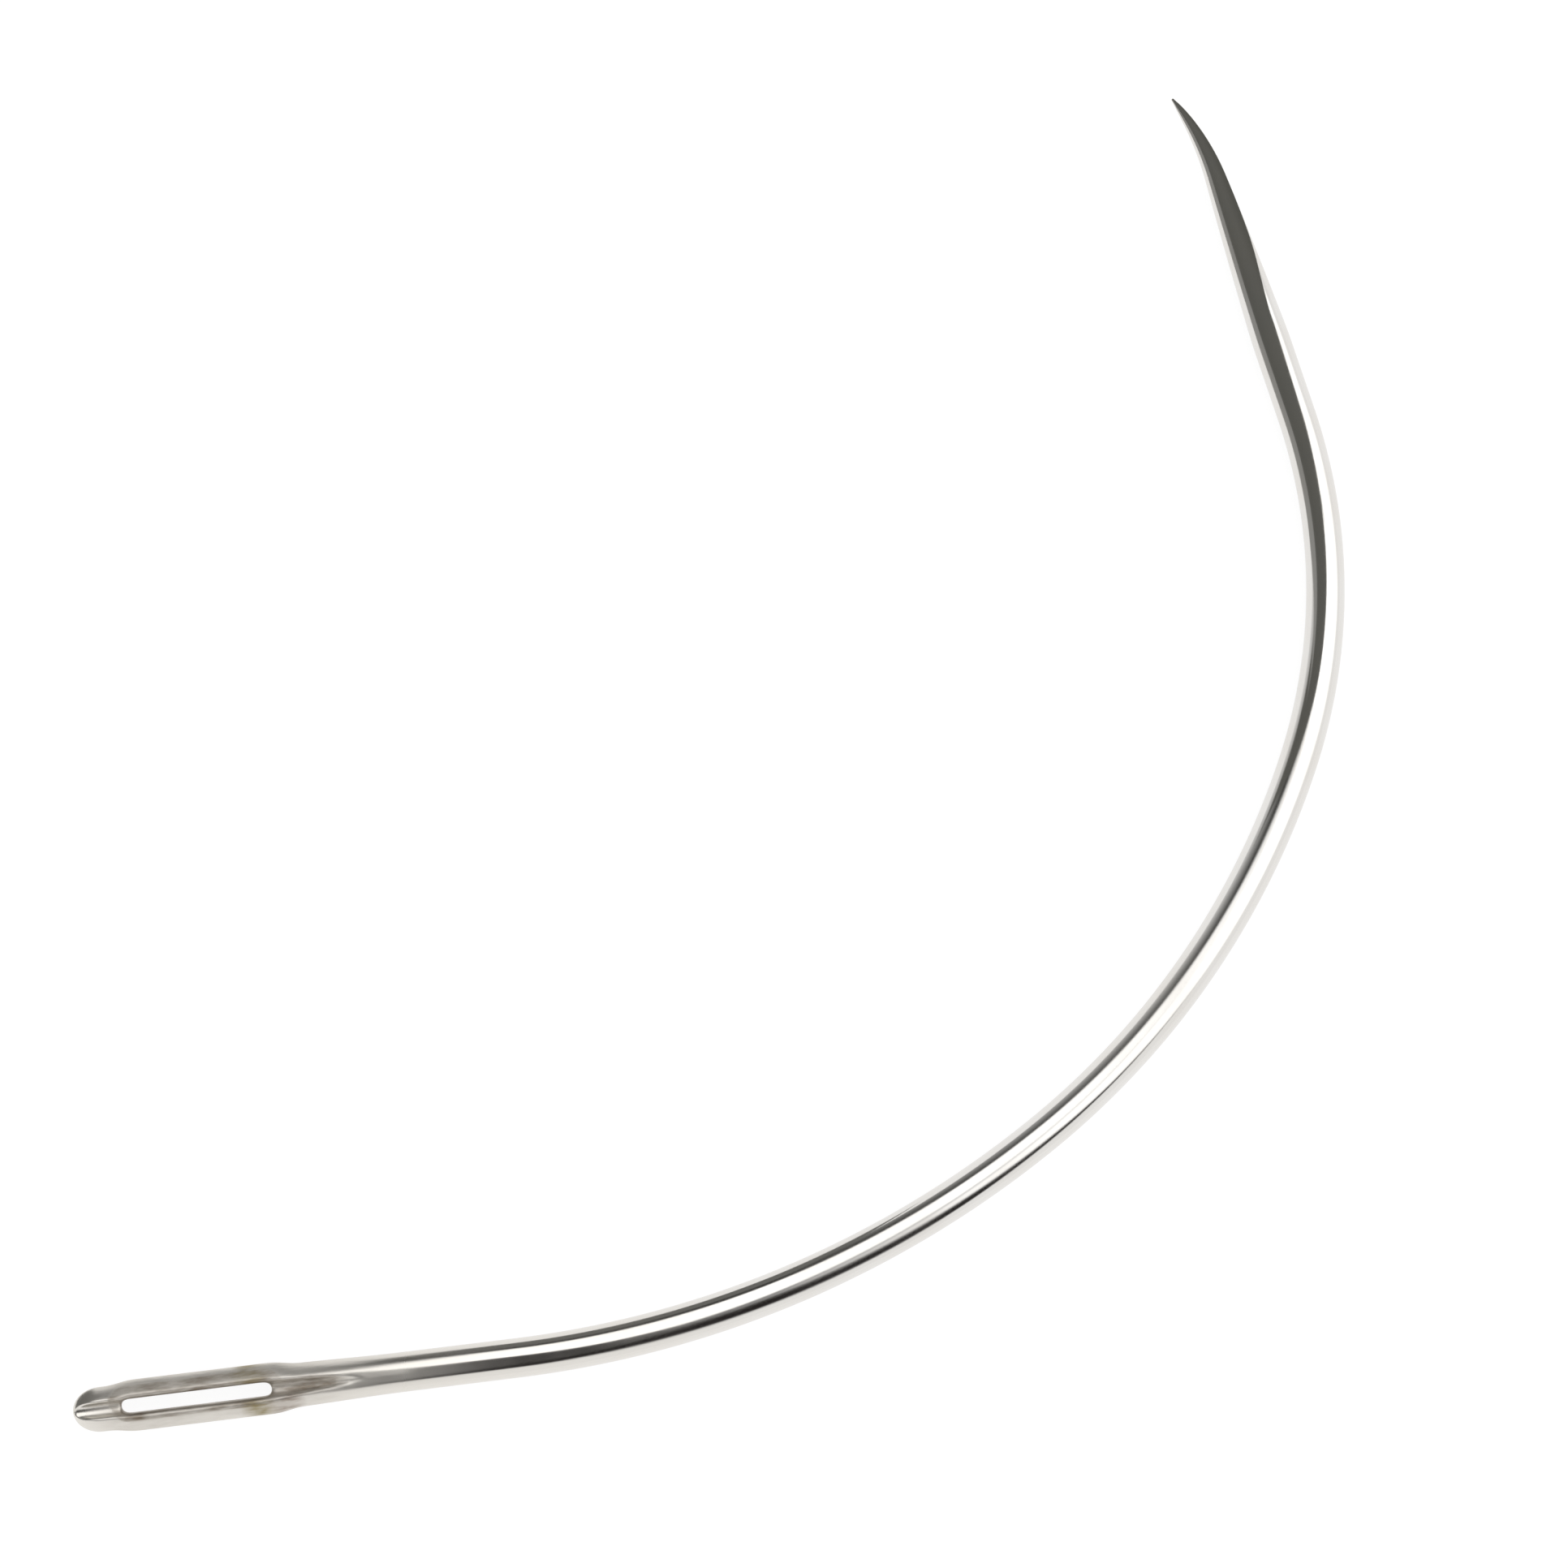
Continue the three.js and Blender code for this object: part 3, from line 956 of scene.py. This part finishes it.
brightest = {"Value": clouds, "To Min": BRIGHT_ROUGHNESS, "To Max": BRIGHT_ROUGHNESS + CLOUD_ROUGHNESS}
bright = add_node(tree, "MapRange", brightest)
rough = add_node(tree, "Mix", {"Factor": dulled, "A": bright, "B": DULL_ROUGHNESS})
print("roughness from", BRIGHT_ROUGHNESS, "on the shank to", DULL_ROUGHNESS, "by the eye")

# %% Marks of the dies
DIE_MARK_SIZE = 0.4
DIE_MARK_RUN = 1.1
DIE_MARK_DETAIL = 2
DIE_MARK_DEPTH = 0.016

pressed = (1 / DIE_MARK_RUN, 1 / DIE_MARK_SIZE, 1 / DIE_MARK_SIZE)
dented = add_node(tree, "Mapping", {"Vector": place, "Scale": pressed})
dents = add_node(tree, "TexNoise", {"Vector": dented, "Scale": 1, "Detail": DIE_MARK_DETAIL})
on_flanks = {"Value": dulled, "From Min": FLANK_DULLNESS / 2, "From Max": FLANK_DULLNESS}
struck = add_node(tree, "MapRange", on_flanks)
die_marks = add_node(tree, "Math", {0: dents, 1: struck}, operation="MULTIPLY")
uneven = add_node(tree, "Bump", {"Height": die_marks, "Strength": 1, "Distance": DIE_MARK_DEPTH * MM})
print("die marks", DIE_MARK_DEPTH, "mm deep on the head")

# %% Polishing lines, and the finished plate
# Real polishing lines are a few thousandths of a millimetre apart, so they are drawn coarser to show.
POLISH_SPACING = 0.05
POLISH_RUN = 9
POLISH_DETAIL = 3
POLISH_DEPTH = 0.0004

along = (1 / POLISH_RUN, 1 / POLISH_SPACING, 1 / POLISH_SPACING)
grain = add_node(tree, "Mapping", {"Vector": place, "Scale": along})
lines = add_node(tree, "TexNoise", {"Vector": grain, "Scale": 1, "Detail": POLISH_DETAIL})
ridge_bump = {"Height": lines, "Strength": 1, "Distance": POLISH_DEPTH * MM, "Normal": uneven}
ridges = add_node(tree, "Bump", ridge_bump)
plate = {"Base Color": colour, "Metallic": 1, "Roughness": rough, "Normal": ridges}
surface = add_node(tree, "BsdfPrincipled", plate)
add_node(tree, "OutputMaterial", {"Surface": surface})
needle.data.materials.append(plating)
print("plating with polishing lines", POLISH_SPACING, "mm apart")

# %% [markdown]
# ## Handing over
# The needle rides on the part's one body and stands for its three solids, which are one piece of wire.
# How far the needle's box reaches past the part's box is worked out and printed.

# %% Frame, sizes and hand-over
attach(needle, "root")
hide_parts("head", "shank", "point")
visual_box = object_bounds()
past_low = [(a - b) / MM for a, b in zip(cad_box[0], visual_box[0])]
past_high = [(b - a) / MM for a, b in zip(cad_box[1], visual_box[1])]
print(f"outside the packed box by at most {max(past_low + past_high):.4f} mm")
